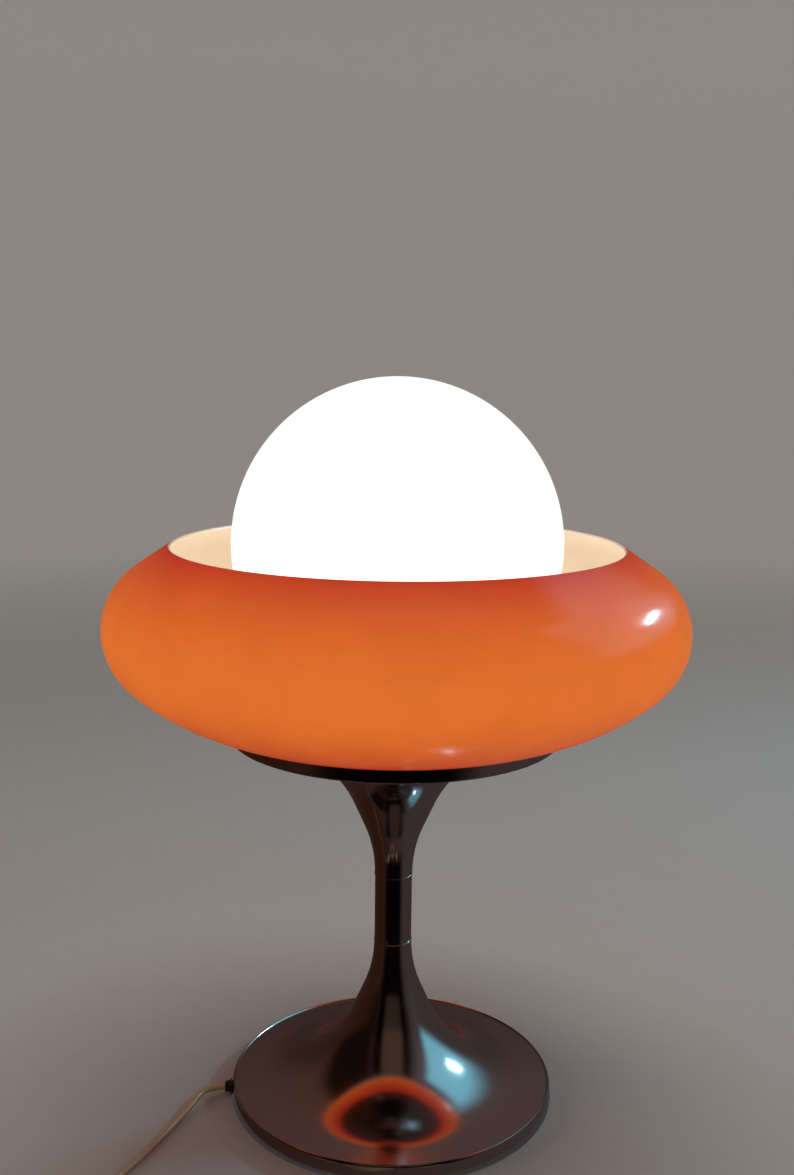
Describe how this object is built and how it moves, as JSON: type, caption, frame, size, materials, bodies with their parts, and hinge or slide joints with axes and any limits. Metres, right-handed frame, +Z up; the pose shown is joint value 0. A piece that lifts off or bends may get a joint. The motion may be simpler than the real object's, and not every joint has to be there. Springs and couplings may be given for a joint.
{
  "type": "table lamp",
  "caption": "Tulip-base table lamp: spun chrome trumpets, an orange-over-white bowl shade and a white opal globe, with cord, inline switch and plug.",
  "frame": {"origin": "centre of the foot's underside, on the surface the lamp stands on", "axes": "+Z up along the stem, -Y to the front, the cord leaves towards -X"},
  "size_m": [0.4414, 0.4422, 0.571],
  "materials": {
    "satin_chrome": "spun steel, chrome plated and satin brushed round the axis",
    "polished_chrome": "polished chrome",
    "zinc_steel": "zinc plated",
    "grey_iron": "as cast, painted grey",
    "sheet_steel": "plain sheet",
    "foot_felt": "dark felt",
    "brown_bushing": "dark brown moulded",
    "cord_ivory": "ivory flexible sheath, slightly yellowed",
    "white_gasket": "white soft ring",
    "white_lacquer": "white lacquer",
    "holder_plastic": "white moulded",
    "holder_porcelain": "white glaze",
    "brass_fittings": "plain brass",
    "copper_wire": "bare stranded copper",
    "bulb_metal": "rolled",
    "black_glass": "black fused glass",
    "bulb_glass": "inside frosted",
    "switch_ivory": "moulded, slightly yellowed",
    "rocker_ivory": "moulded",
    "plug_ivory": "moulded",
    "plug_pins": "nickel plated",
    "orange_acrylic": "orange outside, white inside, glossy, lit from within",
    "opal_glass": "opal white, satin, lit from within"
  },
  "bodies": {
    "lamp": {"base_shell": "satin_chrome", "upper_trumpet": "satin_chrome", "neck_collar": "satin_chrome", "joint_ring_lower": "polished_chrome", "joint_ring_upper": "polished_chrome", "stem_rod": "zinc_steel", "rod_washer_lower": "zinc_steel", "rod_nut_lower": "brass_fittings", "rod_washer_upper": "zinc_steel", "rod_nut_upper": "brass_fittings", "base_weight": "grey_iron", "bottom_plate": "sheet_steel", "plate_screws": "zinc_steel", "foot_felt": "foot_felt", "cord_bushing": "brown_bushing", "inner_cord": "cord_ivory", "support_plate": "sheet_steel", "bowl_gasket": "white_gasket", "bowl_centring_bush": "white_gasket", "shade_bowl": "orange_acrylic", "gallery_washer": "white_gasket", "globe_gallery": "white_lacquer", "globe_cushion": "white_gasket", "lampholder_cap": "holder_plastic", "lampholder_body": "holder_plastic", "lampholder_insert": "holder_porcelain", "lampholder_sleeve": "brass_fittings", "lampholder_contacts": "brass_fittings", "holder_wires": "copper_wire", "cord_lead": "cord_ivory", "cord_link": "cord_ivory", "cord_coil": "cord_ivory", "cord_tail": "cord_ivory", "switch_base": "switch_ivory", "switch_cover": "switch_ivory", "switch_screws": "zinc_steel", "switch_contacts": "brass_fittings", "plug_body": "plug_ivory", "plug_pins": "plug_pins"},
    "globe": {"globe_glass": "opal_glass"},
    "bulb": {"bulb_cap": "bulb_metal", "bulb_contact": "bulb_metal", "bulb_insulator": "black_glass", "bulb_glass": "bulb_glass", "bulb_stem": "bulb_glass", "bulb_filament": "bulb_metal"},
    "rocker": {"switch_rocker": "rocker_ivory"}
  },
  "joints": [
    {"name": "globe_lift", "type": "slide", "parent": "lamp", "child": "globe", "axis": [0, 0, 1], "range_m": [0, 0.2]},
    {"name": "bulb_turn", "type": "hinge", "parent": "lamp", "child": "bulb", "pos_m": [0, 0, 0.36], "axis": [0, 0, 1], "range_deg": [0, 1260]},
    {"name": "switch_rocker", "type": "hinge", "parent": "lamp", "child": "rocker", "pos_m": [-0.121, -0.199, 0.011], "axis": [0, 1, 0], "range_deg": [-18, 0]}
  ]
}
